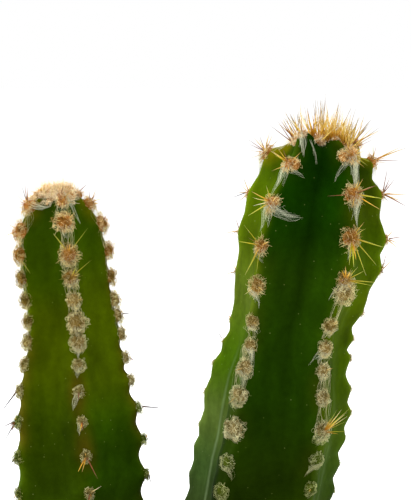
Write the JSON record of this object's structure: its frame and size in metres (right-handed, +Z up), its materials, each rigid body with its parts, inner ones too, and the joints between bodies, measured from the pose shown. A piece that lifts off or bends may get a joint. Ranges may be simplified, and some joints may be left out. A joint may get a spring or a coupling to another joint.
{
  "type": "potted cactus",
  "caption": "Fairy castle cactus in a plain clay pot: upright five-ribbed green stems with woolly, spined areoles along the ribs, standing in soil.",
  "frame": {"origin": "centre of the pot's foot, on the surface that the pot stands on", "axes": "+Z up; -Y towards the viewer of the picture; +X to the viewer's right, the side of the taller stem"},
  "size_m": [0.0918, 0.0918, 0.1734],
  "materials": {
    "clay": "unglazed, matt",
    "soil": "loose potting mix, matt",
    "cactus_skin": "waxy, softly glossy",
    "wool": "fine felt and hair",
    "spine": "golden, translucent towards the tip"
  },
  "bodies": {
    "root": {"pot": "clay", "soil": "soil", "stem_left": "cactus_skin", "stem_right": "cactus_skin"}
  },
  "joints": []
}
